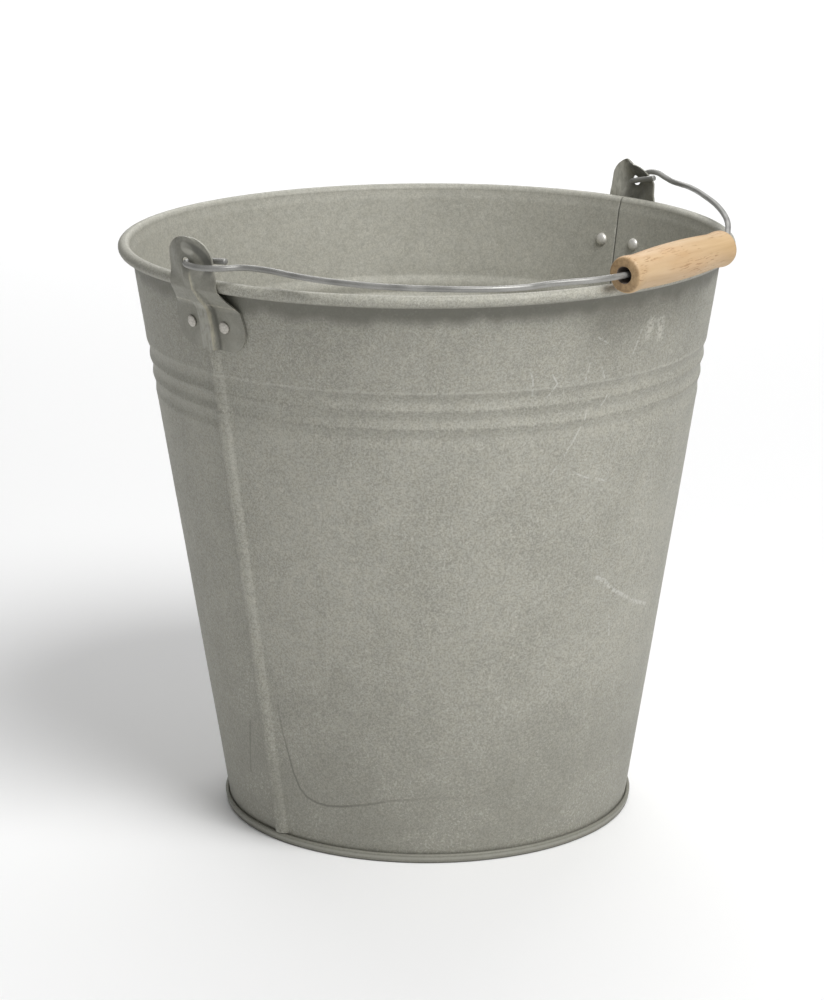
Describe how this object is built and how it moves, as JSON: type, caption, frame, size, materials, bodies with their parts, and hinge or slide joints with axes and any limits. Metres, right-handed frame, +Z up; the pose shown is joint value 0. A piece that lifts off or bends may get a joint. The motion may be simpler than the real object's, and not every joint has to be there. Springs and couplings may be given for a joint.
{
  "type": "florist bucket",
  "caption": "Tapered galvanised steel flower bucket with riveted ears, a hooked wire bail and a turned wooden grip.",
  "frame": {"origin": "on the bucket's axis, in the plane that its foot ring stands on", "axes": "+Z up along the bucket's axis; the bail turns about an axis parallel to X and lies towards -Y at rest"},
  "size_m": [0.3413, 0.3378, 0.3273],
  "materials": {
    "galvanised_sheet": "matt weathered zinc",
    "ear_steel": "matt weathered zinc",
    "rivet_steel": "satin",
    "wire_steel": "satin",
    "grip_wood": "bare turned wood"
  },
  "bodies": {
    "bucket": {"wall_front": "galvanised_sheet", "wall_rear": "galvanised_sheet", "bottom_disc": "galvanised_sheet", "rim_wire": "wire_steel", "bail_ear_left": "ear_steel", "bail_ear_right": "ear_steel", "rivet_left_front": "rivet_steel", "rivet_left_rear": "ear_steel", "rivet_right_front": "rivet_steel", "rivet_right_rear": "ear_steel"},
    "bail": {"bail_wire": "wire_steel"},
    "grip": {"wooden_grip": "grip_wood"}
  },
  "joints": [
    {"name": "bail_hinge", "type": "hinge", "parent": "bucket", "child": "bail", "pos_m": [0, 0, 0.3145], "axis": [-1, 0, 0], "range_deg": [0, 179.3]},
    {"name": "grip_spin", "type": "hinge", "parent": "bail", "child": "grip", "pos_m": [0.006, -0.16405, 0.3135], "axis": [0.9925, 0.1226, 0.0007], "continuous": true}
  ]
}
